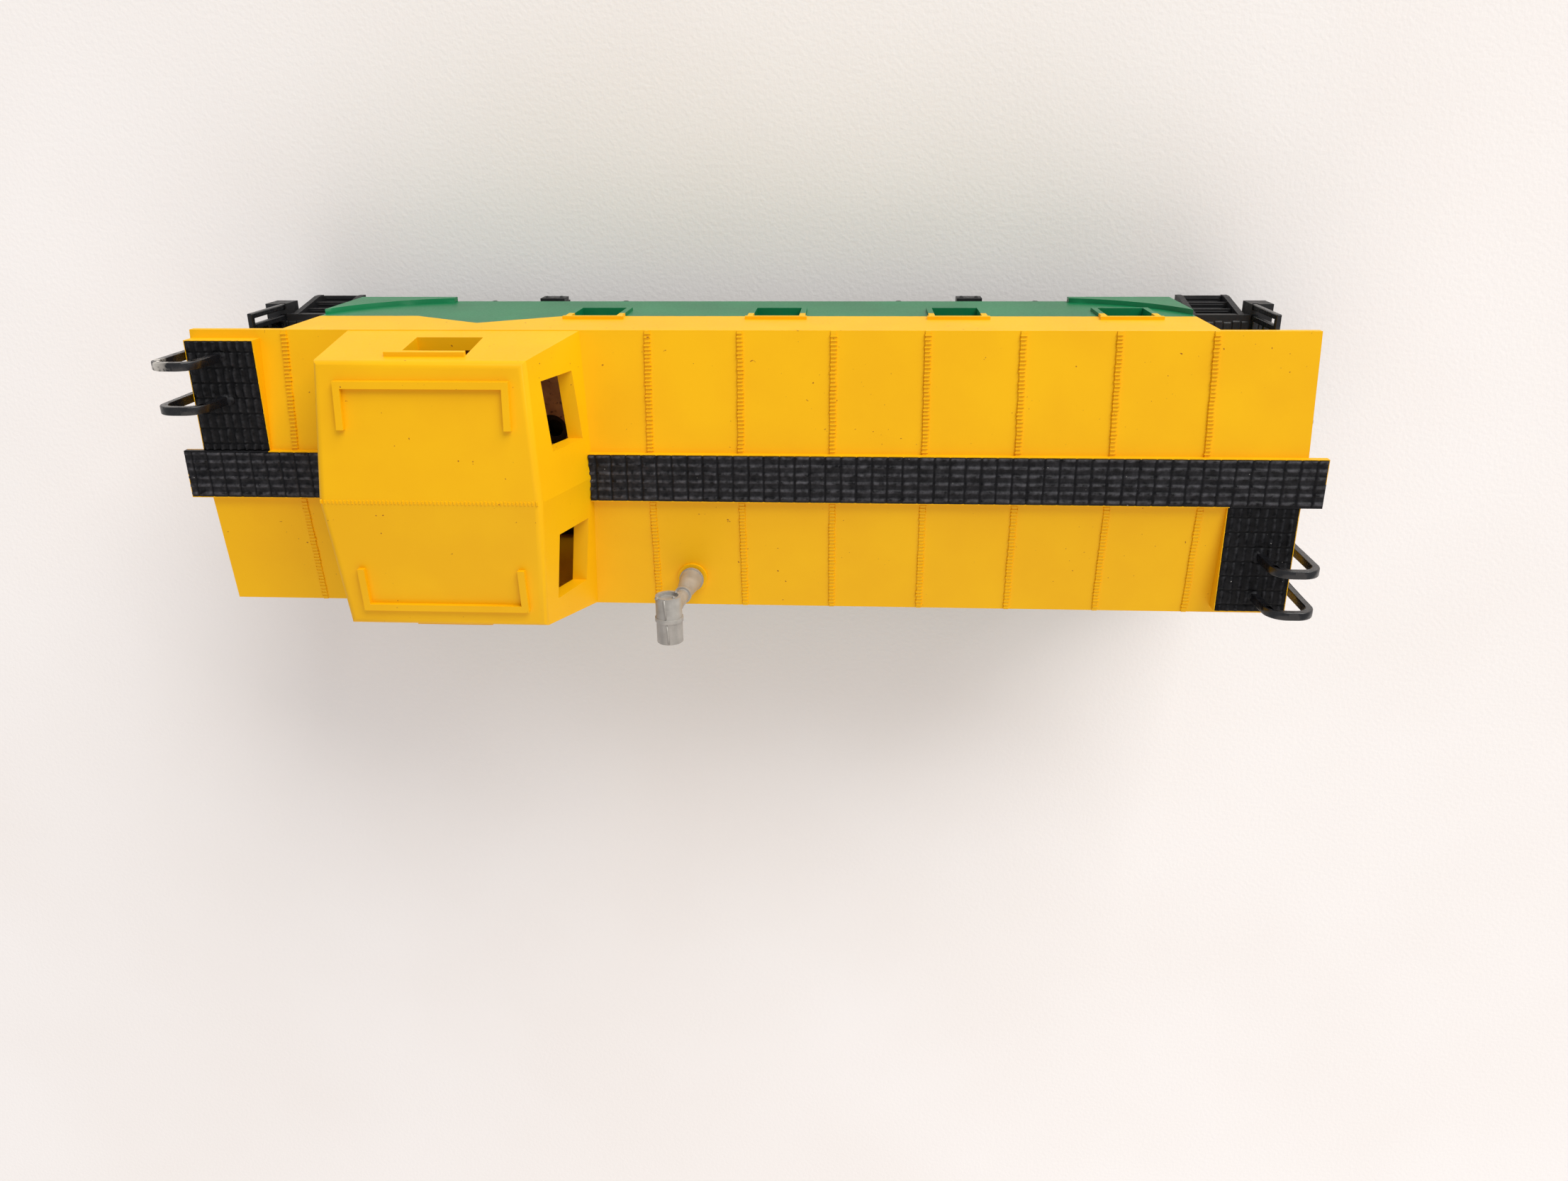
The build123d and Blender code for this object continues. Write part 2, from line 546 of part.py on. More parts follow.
def coupler():
    """Shank with an eye and a flat tail, and a head with a curled knuckle facing a guard arm."""
    z0 = COUPLER_Z - SHANK_H / 2
    shank = box(60.6, 70.2, -1.4, 1.4, z0, z0 + SHANK_H)
    shank += Pos(COUPLER_PIVOT_X, 0, COUPLER_Z) * Cylinder(2.0, SHANK_H)
    head = [
        Polyline((69.6, 1.8), (69.6, -2.0), (71.2, -2.9), (74.9, -3.3), (75.1, -2.5), (72.8, -1.7)),
        ThreePointArc((72.8, -1.7), (72.2, -0.6), (72.9, 0.3)),
        Line((72.9, 0.3), (74.2, 0.2)),
        ThreePointArc((74.2, 0.2), (75.0, -0.5), (75.9, 0.1)),
        ThreePointArc((75.9, 0.1), (76.0, 1.6), (74.8, 2.6)),
        Polyline((74.8, 2.6), (71.4, 2.4), (69.6, 1.8))]
    head_solid = Pos(0, 0, COUPLER_Z - 1.5) * extrude(make_face(head), 3.0)
    return shank + head_solid - Pos(COUPLER_PIVOT_X, 0, COUPLER_Z) * Cylinder(1.0 + FIT, 5)


def coupler_spring():
    """Bronze leaf that bears on the flat tail and keeps the coupler central."""
    return box(60.05, 60.25, -2.6, 2.6, COUPLER_Z - 0.8, COUPLER_Z + 0.8)


def coupler_lid():
    lid = box(59.4, BEAM_OUT + 0.5, -3.9, 3.9, BOX_LOW - 0.7, BOX_LOW)
    return lid - Pos(COUPLER_PIVOT_X, 0, BOX_LOW) * Cylinder(0.6, 5)


def coupler_screw():
    return Pos(COUPLER_PIVOT_X, 0, BOX_LOW - 0.7) * Rot(180, 0, 0) * screw(0.5, 2.0, 1.2, 0.5)


for end, side in ENDS:
    write(f"coupler_{end}", to_end(coupler(), side))
    write(f"coupler_spring_{end}", to_end(coupler_spring(), side))
    write(f"coupler_lid_{end}", to_end(coupler_lid(), side))
    write(f"coupler_screw_{end}", to_end(coupler_screw(), side))
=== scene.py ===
import math
import random

import bmesh
import bpy
from mathutils import Matrix, Vector, noise


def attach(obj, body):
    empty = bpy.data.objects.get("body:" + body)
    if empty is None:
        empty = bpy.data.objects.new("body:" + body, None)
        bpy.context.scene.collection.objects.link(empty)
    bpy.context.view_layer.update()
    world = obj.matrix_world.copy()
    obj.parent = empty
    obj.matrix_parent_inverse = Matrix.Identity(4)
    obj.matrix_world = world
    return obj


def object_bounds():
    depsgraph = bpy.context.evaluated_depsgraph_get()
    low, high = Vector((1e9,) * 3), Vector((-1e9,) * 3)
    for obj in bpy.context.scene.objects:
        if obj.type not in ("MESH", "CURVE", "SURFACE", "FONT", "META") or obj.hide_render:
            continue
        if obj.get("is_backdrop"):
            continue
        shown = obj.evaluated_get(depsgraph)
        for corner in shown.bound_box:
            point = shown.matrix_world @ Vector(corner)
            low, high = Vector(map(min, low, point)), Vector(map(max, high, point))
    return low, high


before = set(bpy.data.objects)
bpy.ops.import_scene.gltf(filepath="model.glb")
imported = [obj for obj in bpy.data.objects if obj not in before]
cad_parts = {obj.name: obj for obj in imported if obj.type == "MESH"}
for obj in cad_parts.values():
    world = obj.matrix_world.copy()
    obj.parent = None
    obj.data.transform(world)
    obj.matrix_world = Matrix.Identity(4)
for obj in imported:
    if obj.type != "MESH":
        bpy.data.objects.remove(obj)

# ---------------------------------------------------------------------------
# Camera. It looks steeply down on the roof from over the +Y side, and is rolled
# over so that the +Y side is at the top of the picture.
# ---------------------------------------------------------------------------
cad_low, cad_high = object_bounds()

MM = 0.001
EAVE_Z = 36.9                      # height of the eaves above the floor, mm

LENS, SENSOR = 26.9, 36.0          # mm
CAMERA_ROLL = math.radians(-0.48)

camera_at = Vector((13.7, 38.2, 173.95)) * MM
aim_at = Vector((4.9, -15.15, EAVE_Z)) * MM
forward = (aim_at - camera_at).normalized()
right = forward.cross(Vector((0, 1, 0))).normalized()
facing = Matrix((right, right.cross(forward), -forward)).transposed().to_4x4()
camera_roll = Matrix.Rotation(CAMERA_ROLL, 4, "Z")

camera = bpy.data.objects.new("camera", bpy.data.cameras.new("camera"))
camera.matrix_world = Matrix.Translation(camera_at) @ facing @ camera_roll
camera.data.sensor_width = SENSOR
camera.data.lens = LENS
camera.data.clip_start = 0.01
bpy.context.scene.collection.objects.link(camera)
bpy.context.scene.camera = camera
bpy.context.scene.view_settings.view_transform = "Standard"


# ---------------------------------------------------------------------------
# Floor and light. A table top in pale embossed leathercloth, whose pebbled grain
# is about 0.6 mm across. A broad window light comes low over the corner of the
# +Y side and the B end, a weaker warm one fills the other side, and the surround is
# an even white.
# ---------------------------------------------------------------------------
def linear(hex_colour):
    """An sRGB hex colour as linear RGBA."""
    parts = [int(hex_colour[i:i + 2], 16) / 255 for i in (1, 3, 5)]
    return [p / 12.92 if p <= 0.04045 else ((p + 0.055) / 1.055) ** 2.4 for p in parts] + [1.0]


def node(tree, kind, inputs=None, **settings):
    """Adds a shader node, sets or links its inputs, and returns its first output."""
    made = tree.nodes.new("ShaderNode" + kind)
    for name, value in settings.items():
        setattr(made, name, value)
    for socket, value in (inputs or {}).items():
        if isinstance(value, bpy.types.NodeSocket):
            tree.links.new(value, made.inputs[socket])
        else:
            made.inputs[socket].default_value = value
    visible = [output for output in made.outputs if output.enabled]
    return visible[0]


def new_material(name, **sockets):
    """A material with its tree and principled shader, which takes the plain values given."""
    material = bpy.data.materials.new(name)
    material.use_nodes = True
    shader = material.node_tree.nodes["Principled BSDF"]
    for socket, value in sockets.items():
        shader.inputs[socket.replace("_", " ")].default_value = value
    return material, material.node_tree, shader


def object_place(tree):
    """Where a point is on its object."""
    return tree.nodes.new("ShaderNodeTexCoord").outputs["Object"]


def grain(tree, size_mm, detail=3.0):
    """Noise from 0 to 1, fixed to the object, with features about that many millimetres across."""
    scale = 1 / (size_mm * MM)
    return node(tree, "TexNoise", {"Vector": object_place(tree), "Scale": scale, "Detail": detail})


def spread(tree, value, low, high, to_low=0.0, to_high=1.0):
    """A value clamped between low and high, spread over another range."""
    ends = {"From Min": low, "From Max": high, "To Min": to_low, "To Max": to_high}
    return node(tree, "MapRange", {"Value": value, **ends})


def blend_colour(tree, factor, first, second):
    """One colour, shading into another where the factor is 1. Each is a hex value or a socket."""
    a, b = (linear(c) if isinstance(c, str) else c for c in (first, second))
    return node(tree, "Mix", {"Factor": factor, "A": a, "B": b}, data_type="RGBA")


def shade(tree, shader, factor, first, second):
    """Colours a shader with a blend of two colours."""
    tree.links.new(blend_colour(tree, factor, first, second), shader.inputs["Base Color"])


def roughen(tree, shader, height, strength, depth_mm):
    """Lets a height bend the shader's normals, as relief of that depth would."""
    bump = node(tree, "Bump", {"Height": height, "Strength": strength, "Distance": depth_mm * MM})
    tree.links.new(bump, shader.inputs["Normal"])


FLOOR_HALF = 3000
PEBBLE = 0.6                       # size of the embossed grain
LIT_HEIGHT = 30                    # the lights aim at this height

# Matt vinyl, faintly warm and faintly cloudy, whose pebbles catch the low light.
leathercloth, tree, shader = new_material("embossed_white_leathercloth", Roughness=0.85,
                                          Specular_IOR_Level=0.25)
cloud = spread(tree, grain(tree, 60.0), 0.35, 0.65)
shade(tree, shader, cloud, "#F6F1EE", "#F9F5F3")
roughen(tree, shader, grain(tree, PEBBLE, 2.0), 0.35, 0.12)

floor_mesh = bpy.data.meshes.new("floor")
floor_signs = ((-1, -1), (1, -1), (1, 1), (-1, 1))
floor_corners = [(x * FLOOR_HALF * MM, y * FLOOR_HALF * MM, 0) for x, y in floor_signs]
floor_mesh.from_pydata(floor_corners, [], [(0, 1, 2, 3)])
floor_mesh.materials.append(leathercloth)
floor = bpy.data.objects.new("floor", floor_mesh)
bpy.context.scene.collection.objects.link(floor)
floor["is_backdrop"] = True


def soft_light(name, at_mm, size_mm, watts, colour):
    """A square panel light that faces the object."""
    light = bpy.data.objects.new(name, bpy.data.lights.new(name, "AREA"))
    light.data.size = size_mm * MM
    light.data.energy = watts
    light.data.color = linear(colour)[:3]
    light.location = Vector(at_mm) * MM
    towards_object = Vector((0, 0, LIT_HEIGHT)) * MM - light.location
    light.rotation_euler = towards_object.to_track_quat("-Z", "Y").to_euler()
    bpy.context.scene.collection.objects.link(light)


soft_light("window_light", (900, 1590, 830), 1500, 40.0, "#FFFEFA")
soft_light("warm_fill", (60, -640, 620), 1200, 4.1, "#FFF1E6")
world = bpy.data.worlds.new("white_surround")
world.use_nodes = True
background = world.node_tree.nodes["Background"].inputs
background["Color"].default_value = linear("#F4F6FA")
background["Strength"].default_value = 0.5
bpy.context.scene.world = world


# ---------------------------------------------------------------------------
# Body shell. One hollow moulding in yellow polystyrene: sides, ends, roof,
# cupola and roof walk. Its lower sides are sprayed green through a mask, so the
# green has a sharp upper edge, with a peak in it under the cupola.
# ---------------------------------------------------------------------------
HALF_WIDTH = 17.15
WALL = 1.2
BODY_HALF = 55.0
ROOF_HALF = 66.0
WALK_HALF = 2.94
PLATFORM_IN = 57.4                 # inner edge of a corner platform
PAINT_LINE = EAVE_Z - 11.4         # top edge of the green
PEAK_X, PEAK_HALF, PEAK_RISE = -32.75, 9.45, 5.9   # where the green peaks, how wide, how high
PAINT_WANDER = 0.05                # how far the paint crept under its mask
WELD_GAP = 0.001
MOULDED_ANGLE = math.radians(35)   # edges sharper than this are rounded


def round_edges(piece, edge_mm):
    """A small radius on every sharp edge."""
    bevel = piece.modifiers.new("edge_radius", "BEVEL")
    bevel.width = edge_mm * MM
    bevel.segments = 2
    bevel.limit_method = "ANGLE"
    bevel.angle_limit = MOULDED_ANGLE
    return bevel


def finish_cad(names, material, edge_mm=0.0):
    """Gives CAD nodes their material, and rounds their edges by a moulding's small radius."""
    for name in names:
        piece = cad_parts[name]
        for slot in piece.material_slots:
            slot.material = material
        if edge_mm:
            weld = piece.modifiers.new("weld", "WELD")
            weld.merge_threshold = WELD_GAP * MM
            round_edges(piece, edge_mm).harden_normals = True


def maths(tree, operation, *values):
    """A sum or a test over values that are numbers or sockets."""
    return node(tree, "Math", dict(enumerate(values)), operation=operation)


# Polystyrene straight from the mould is satin, with faint flow marks some millimetres
# across, a fine orange peel, and a few brown specks from years of handling.
body_plastic, tree, shader = new_material("moulded_yellow_polystyrene_sprayed_green",
                                          Specular_IOR_Level=0.22)
x_at, y_at, z_at = node(tree, "SeparateXYZ", {0: object_place(tree)}).node.outputs
x_out = maths(tree, "ABSOLUTE", x_at)
y_out = maths(tree, "ABSOLUTE", y_at)
from_peak = maths(tree, "ABSOLUTE", maths(tree, "ADD", x_at, -PEAK_X * MM))
peak = spread(tree, from_peak, 0.0, PEAK_HALF * MM, (PAINT_LINE + PEAK_RISE) * MM, PAINT_LINE * MM)
wander = spread(tree, grain(tree, 0.8), 0.3, 0.7, -PAINT_WANDER * MM, PAINT_WANDER * MM)
paint_edge = maths(tree, "ADD", peak, wander)
below = maths(tree, "LESS_THAN", z_at, paint_edge)
on_side = maths(tree, "GREATER_THAN", y_out, (HALF_WIDTH - WALL + 0.05) * MM)
on_end = maths(tree, "GREATER_THAN", x_out, (BODY_HALF - WALL + 0.05) * MM)
outside = maths(tree, "MAXIMUM", on_side, on_end)
sprayed = maths(tree, "MULTIPLY", below, outside)
# where a platform meets the roof walk, the step up between them is black like both
by_platform = maths(tree, "LESS_THAN", maths(tree, "MULTIPLY", x_at, y_at), 0.0)
step_x = maths(tree, "GREATER_THAN", x_out, (PLATFORM_IN + 0.1) * MM)
step_y = maths(tree, "LESS_THAN", y_out, (WALK_HALF + 0.1) * MM)
step_z = maths(tree, "GREATER_THAN", z_at, (EAVE_Z + 1.9) * MM)
step_xy = maths(tree, "MULTIPLY", step_x, step_y)
step_zs = maths(tree, "MULTIPLY", step_z, by_platform)
blacked = maths(tree, "MULTIPLY", step_xy, step_zs)
flow_marks = spread(tree, grain(tree, 9.0, 5.0), 0.35, 0.65)
specks = spread(tree, grain(tree, 0.5, 1.0), 0.76, 0.8)
speck_zones = spread(tree, grain(tree, 6.0, 1.0), 0.46, 0.54)
dirt = maths(tree, "MULTIPLY", specks, speck_zones)
yellow = blend_colour(tree, flow_marks, "#EDB000", "#F1B600")
yellow = blend_colour(tree, dirt, yellow, "#9C5A14")
green = blend_colour(tree, flow_marks, "#0A6B40", "#0E7849")
shade(tree, shader, blacked, blend_colour(tree, sprayed, yellow, green), "#1A1A1D")
gloss = spread(tree, sprayed, 0.0, 1.0, 0.44, 0.3)
satin = maths(tree, "MULTIPLY_ADD", grain(tree, 0.3, 4.0), 0.14, gloss)
tree.links.new(satin, shader.inputs["Roughness"])
roughen(tree, shader, grain(tree, 0.3, 3.0), 0.18, 0.03)
finish_cad(["body_shell"], body_plastic, 0.18)


# ---------------------------------------------------------------------------
# Roof seams. The joints between the roof's sheets are beads with fine hatching
# across them, cut into the mould by hand, and so is the cupola's ridge.
# ---------------------------------------------------------------------------
RIDGE_RISE = 2.05                  # the roof's ridge over its eaves
SEAM_PITCH = 10.88
SEAMS = (-5, -1, 0, 1, 2, 3, 4, 5)
TOOTH = 0.24                       # thickness of a cut's raised edge
TOOTH_SUNK = 0.08                  # how deep it starts under the roof
CUPOLA_RIDGE_Z = EAVE_Z + 13.45
CUPOLA_RIDGE_X = (-46.6, -21.6)
RIDGE_TOOTH_PITCH = 0.45


def add_block(shape, centre, size, top=1.0, turn=None):
    """A box with its middle at centre. Its top is drawn in by a factor, and it may be turned."""
    corners = []
    for dz in (-0.5, 0.5):
        pull = top if dz > 0 else 1.0
        for dx, dy in ((-0.5, -0.5), (0.5, -0.5), (0.5, 0.5), (-0.5, 0.5)):
            corner = Vector((dx * size[0] * pull, dy * size[1] * pull, dz * size[2]))
            corner = turn @ corner if turn else corner
            corners.append(shape.verts.new((corner + Vector(centre)) * MM))
    faces = ((3, 2, 1, 0), (4, 5, 6, 7), (0, 1, 5, 4), (1, 2, 6, 5), (2, 3, 7, 6), (3, 0, 4, 7))
    for face in faces:
        shape.faces.new([corners[i] for i in face])


def add_rod(shape, start, end, radius, end_radius=None, sides=12):
    """A round bar or cone between two points."""
    start, end = Vector(start), Vector(end)
    aim = (end - start).to_track_quat("Z", "Y")
    rings = []
    for at, r in ((start, radius), (end, radius if end_radius is None else end_radius)):
        ring = []
        for k in range(sides):
            angle = math.tau * k / sides
            spoke = aim @ Vector((r * math.cos(angle), r * math.sin(angle), 0))
            ring.append(shape.verts.new((at + spoke) * MM))
        rings.append(ring)
    shape.faces.new(reversed(rings[0]))
    shape.faces.new(rings[1])
    for k in range(sides):
        shape.faces.new((rings[0][k - 1], rings[0][k], rings[1][k], rings[1][k - 1]))


def add_dome(shape, foot, outwards, radius, rise, sides=10):
    """A rivet head that stands on a face."""
    foot, outwards = Vector(foot), Vector(outwards).normalized()
    shoulder = radius * 0.86
    add_rod(shape, foot - outwards * 0.05, foot + outwards * rise * 0.55, radius, shoulder, sides)
    top = foot + outwards * rise
    add_rod(shape, foot + outwards * rise * 0.5, top, shoulder, radius * 0.4, sides)


def new_piece(shape, name, material, body, edge_mm=0.0, smooth=False):
    """Turns a shape into an object that rides on a body, with its edges rounded if asked."""
    bmesh.ops.recalc_face_normals(shape, faces=shape.faces)
    mesh = bpy.data.meshes.new(name)
    shape.to_mesh(mesh)
    shape.free()
    mesh.materials.append(material)
    mesh.polygons.foreach_set("use_smooth", [smooth] * len(mesh.polygons))
    piece = bpy.data.objects.new(name, mesh)
    bpy.context.scene.collection.objects.link(piece)
    if edge_mm:
        round_edges(piece, edge_mm)
    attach(piece, body)
    return piece


random.seed(11)
roof_tilt = math.atan2(RIDGE_RISE, HALF_WIDTH)
hatching = bmesh.new()
for seam in SEAMS:
    for slope in (-1, 1):
        turn = Matrix.Rotation(-slope * roof_tilt, 3, "X")
        rise = 0.37 if slope > 0 else 0.31
        y = WALK_HALF + 0.35
        while y < HALF_WIDTH - 0.2:
            z = EAVE_Z + RIDGE_RISE * (1 - y / HALF_WIDTH) + rise / 2 - TOOTH_SUNK
            along = random.uniform(0.8, 0.98)
            centre = (seam * SEAM_PITCH + random.uniform(-0.05, 0.05), slope * y, z)
            add_block(hatching, centre, (along, TOOTH, rise), 0.7, turn)
            y += random.uniform(0.42, 0.48)
x = CUPOLA_RIDGE_X[0]
while x < CUPOLA_RIDGE_X[1]:
    tooth_size = (TOOTH, random.uniform(0.5, 0.7), TOOTH)
    add_block(hatching, (x, 0, CUPOLA_RIDGE_Z - 0.04), tooth_size, 0.6)
    x += RIDGE_TOOTH_PITCH
new_piece(hatching, "roof_seam_hatching", body_plastic, "car")

# ---------------------------------------------------------------------------
# End doors. Each end wall's door has a knob, hinges and two raised panels,
# all moulded with the shell.
# ---------------------------------------------------------------------------
DOOR_X = BODY_HALF
DOOR_LOW = 13.6
HINGE_Y, HINGE_HALF, HINGE_R = 3.0, 0.6, 0.22
KNOB_Y, KNOB_Z = 2.5, 21.2
PANEL_WIDTH = 4.2
for end, side in (("a", -1), ("b", 1)):
    door = bmesh.new()
    for z in (DOOR_LOW + 2.4, DOOR_LOW + 8.6, DOOR_LOW + 14.8):
        hinge_x, hinge_y = side * (DOOR_X + 0.1), -side * HINGE_Y
        low, high = ((hinge_x, hinge_y, z + half * HINGE_HALF) for half in (-1, 1))
        add_rod(door, low, high, HINGE_R)
    stem, knob = ((side * (DOOR_X + out), side * KNOB_Y, KNOB_Z) for out in (-0.1, 0.45))
    add_rod(door, stem, knob, 0.16)
    add_dome(door, (side * (DOOR_X + 0.4), side * KNOB_Y, KNOB_Z), (side, 0, 0), 0.36, 0.25, 12)
    for z0, z1 in ((DOOR_LOW + 0.6, DOOR_LOW + 3.4), (DOOR_LOW + 4.2, DOOR_LOW + 7.0)):
        add_block(door, (side * DOOR_X, 0, (z0 + z1) / 2), (0.3, PANEL_WIDTH, z1 - z0))
    new_piece(door, "door_furniture_" + end, body_plastic, "car", 0.07)


# ---------------------------------------------------------------------------
# Walkway treads. The top of the roof walk and of each corner platform is moulded
# with rows of short ribs, parted by grooves across them, and brushed with black
# paint. The rib tops are painted lighter grey in patches: partly paint rubbed thin,
# partly a painted highlight where the ribs catch the light.
# ---------------------------------------------------------------------------
WALK_TOP = EAVE_Z + 2.55
PLATFORM_TOP = EAVE_Z + 2.1
GROOVE_PITCH, RIB_PITCH = 1.83, 1.0
GROOVE_HALF, RIB_HALF = 0.17, 0.24
GROOVE_DEPTH, RIB_RISE = 0.07, 0.2
PAINT_FILM = 0.03                  # the paint in the grooves lies this far over the moulding
RIM_SUNK = 0.02                    # a tread's rim is hidden this far under the moulding
TREAD_STEP = 0.12                  # spacing of the height field's points
SCAR_AT, SCAR_R = Vector((-0.5, 0.3, 0)), 0.9      # where something has crushed the ribs


def tread_paint(name, top_z, floor_colour, rib_wear_and_highlight_colour):
    """Matt black paint, painted lighter grey towards the top of ribs standing on a face at top_z, as
    rubbed paint and painted highlight.
    """
    material, tree, shader = new_material(name, Specular_IOR_Level=0.14)
    z_at = node(tree, "SeparateXYZ", {0: object_place(tree)}).node.outputs[2]
    # rib tops painted lighter grey in patches: rubbed paint and a painted highlight
    rib = spread(tree, z_at, (top_z + 0.04) * MM, (top_z + GROOVE_DEPTH + RIB_RISE) * MM)
    scuff = spread(tree, grain(tree, 0.7, 5.0), 0.35, 0.7)
    worn_and_lit = maths(tree, "MULTIPLY", rib, scuff)
    nicks = spread(tree, grain(tree, 0.5, 2.0), 0.76, 0.8)
    grey = blend_colour(tree, worn_and_lit, floor_colour, rib_wear_and_highlight_colour)
    shade(tree, shader, nicks, grey, "#A9A6A2")
    tree.links.new(spread(tree, scuff, 0.0, 1.0, 0.42, 0.62), shader.inputs["Roughness"])
    roughen(tree, shader, grain(tree, 0.2, 4.0), 0.35, 0.05)
    return material


def tread(name, material, low, high, top_z, ribs_along_x, seed):
    """A thin plate with rows of short, worn, uneven ribs, drawn as a height field."""
    across, along = (round((high[i] - low[i]) / TREAD_STEP) for i in (0, 1))
    shape = bmesh.new()
    rows = []
    for j in range(along + 1):
        y = low[1] + (high[1] - low[1]) * j / along
        row = []
        for i in range(across + 1):
            x = low[0] + (high[0] - low[0]) * i / across
            wobble = 0.08 * noise.noise(Vector((x * 0.8, y * 0.8, seed + 5)))
            run, over = (x - low[0], y - low[1]) if ribs_along_x else (y - low[1], x - low[0])
            off_groove = abs((run + wobble) % GROOVE_PITCH - GROOVE_PITCH / 2)
            off_rib = abs((over + wobble) % RIB_PITCH - RIB_PITCH / 2)
            ridge = max(0.0, 1 - (off_rib / RIB_HALF) ** 2)
            groove = min(1.0, (off_groove / GROOVE_HALF) ** 2)
            worn = 1 + 0.5 * noise.noise(Vector((x * 1.3, y * 1.3, seed)))
            rough = 0.025 * noise.noise(Vector((x * 4.1, y * 4.1, seed + 9)))
            scar = min(1.0, (Vector((x, y, 0)) - SCAR_AT).length / SCAR_R)
            height = PAINT_FILM + (GROOVE_DEPTH + RIB_RISE * ridge * worn * scar) * groove + rough
            on_rim = i in (0, across) or j in (0, along)
            z = top_z + (-RIM_SUNK if on_rim else height)
            row.append(shape.verts.new((x * MM, y * MM, z * MM)))
        rows.append(row)
    for j in range(along):
        for i in range(across):
            shape.faces.new((rows[j][i], rows[j][i + 1], rows[j + 1][i + 1], rows[j + 1][i]))
    # one flat face closes the underside
    high_edge, low_edge = [row[-1] for row in rows[1:-1]], [row[0] for row in rows[-2:0:-1]]
    shape.faces.new(rows[0] + high_edge + rows[-1][::-1] + low_edge)
    new_piece(shape, name, material, "car", smooth=True)


# The walk's rib tops are painted mid grey, as rubbed paint and painted highlight.
# The platforms', which nothing touches, are painted a darker grey that is painted highlight.
walk_paint = tread_paint("brushed_black_paint_on_the_roof_walk", WALK_TOP, "#0D0D10", "#4F4E52")
platform_paint = tread_paint("brushed_black_paint_on_the_platforms", PLATFORM_TOP,
                             "#08080A", "#303033")
WALK_END = ROOF_HALF + 2.05
TREAD_HALF = WALK_HALF - 0.08
CUPOLA_FOOT = (-47.4, -18.3)       # where the walk runs into the cupola's end walls
walk_runs = (("b", 1, CUPOLA_FOOT[1], WALK_END), ("a", 2, -WALK_END, CUPOLA_FOOT[0]))
for end, seed, low_x, high_x in walk_runs:
    tread("roof_walk_tread_" + end, walk_paint, (low_x, -TREAD_HALF), (high_x, TREAD_HALF),
          WALK_TOP, True, seed)
for end, side, seed in (("a", -1, 3), ("b", 1, 4)):
    x_edges = sorted((side * (PLATFORM_IN + 0.06), side * (ROOF_HALF - 0.26)))
    y_edges = sorted((-side * WALK_HALF, -side * (HALF_WIDTH - 1.0)))
    low, high = zip(x_edges, y_edges)
    tread("platform_tread_" + end, platform_paint, low, high, PLATFORM_TOP, False, seed)

# ---------------------------------------------------------------------------
# Smokejack. A moulding in grey polystyrene with aluminium flake in it, pushed
# into the roof. The mould's two halves leave a thin line along the cap's top, and
# scraps of plastic stand round one end of it.
# ---------------------------------------------------------------------------
def vary_gloss(tree, shader, size_mm, low, high):
    """Lets a shader's roughness drift between two values over that many millimetres."""
    drift = spread(tree, grain(tree, size_mm, 4.0), 0.3, 0.7, low, high)
    tree.links.new(drift, shader.inputs["Roughness"])


# The flake gives a soft grey sheen that is cloudy over a millimetre or two.
jack_plastic, tree, shader = new_material("moulded_silver_grey_polystyrene", Metallic=0.12,
                                          Specular_IOR_Level=0.5)
flake = spread(tree, grain(tree, 1.6, 5.0), 0.3, 0.7)
shade(tree, shader, flake, "#938E87", "#ACA7A0")
vary_gloss(tree, shader, 0.4, 0.28, 0.42)
roughen(tree, shader, grain(tree, 0.35, 4.0), 0.25, 0.05)
finish_cad(["smokejack"], jack_plastic, 0.12)

CAP_R, CAP_LENGTH, CAP_TURN = 1.5, 5.6, math.radians(4)
CAP_RISE = 13.0
JACK_LEAN = math.radians(-4)
jack_turn = Matrix.Rotation(JACK_LEAN, 3, "Y")
jack_base = Vector((-6.5, -13.3, EAVE_Z + 1.0))
cap_middle = jack_base + jack_turn @ Vector((0, 0, CAP_RISE))
cap_axis = jack_turn @ Vector((math.sin(-CAP_TURN), math.cos(CAP_TURN), 0))
cap_up = jack_turn @ Vector((0, 0, 1))
flash = bmesh.new()
for half in (-1, 1):
    along = cap_axis * half * CAP_LENGTH
    near, far = (cap_middle + along * k + cap_up * CAP_R for k in (0.07, 0.48))
    add_rod(flash, near, far, 0.09, 0.12, 8)
lip = cap_middle + cap_axis * CAP_LENGTH * 0.49
for turn, size in ((0.9, 0.22), (-0.8, 0.34), (2.4, 0.2)):
    around = cap_axis.cross(cap_up) * math.sin(turn) + cap_up * math.cos(turn)
    add_dome(flash, lip + around * (CAP_R - 0.25), cap_axis, size, 0.2, 7)
new_piece(flash, "smokejack_mould_seam", jack_plastic, "car", smooth=True)

# ---------------------------------------------------------------------------
# End ladders and railings, and the brake wheels. Black polystyrene mouldings,
# glossier than the rest because their mould was polished. One ladder's arch has
# been bent hard at its bow, where the plastic has gone white.
# ---------------------------------------------------------------------------
# Black polystyrene from a polished mould: a clear gloss over a very dark grey.
gloss_black, tree, shader = new_material("moulded_gloss_black_polystyrene", Specular_IOR_Level=0.5)
shade(tree, shader, spread(tree, grain(tree, 2.0), 0.4, 0.6), "#121215", "#1B1B1E")
vary_gloss(tree, shader, 0.5, 0.22, 0.38)
roughen(tree, shader, grain(tree, 0.4, 3.0), 0.12, 0.03)

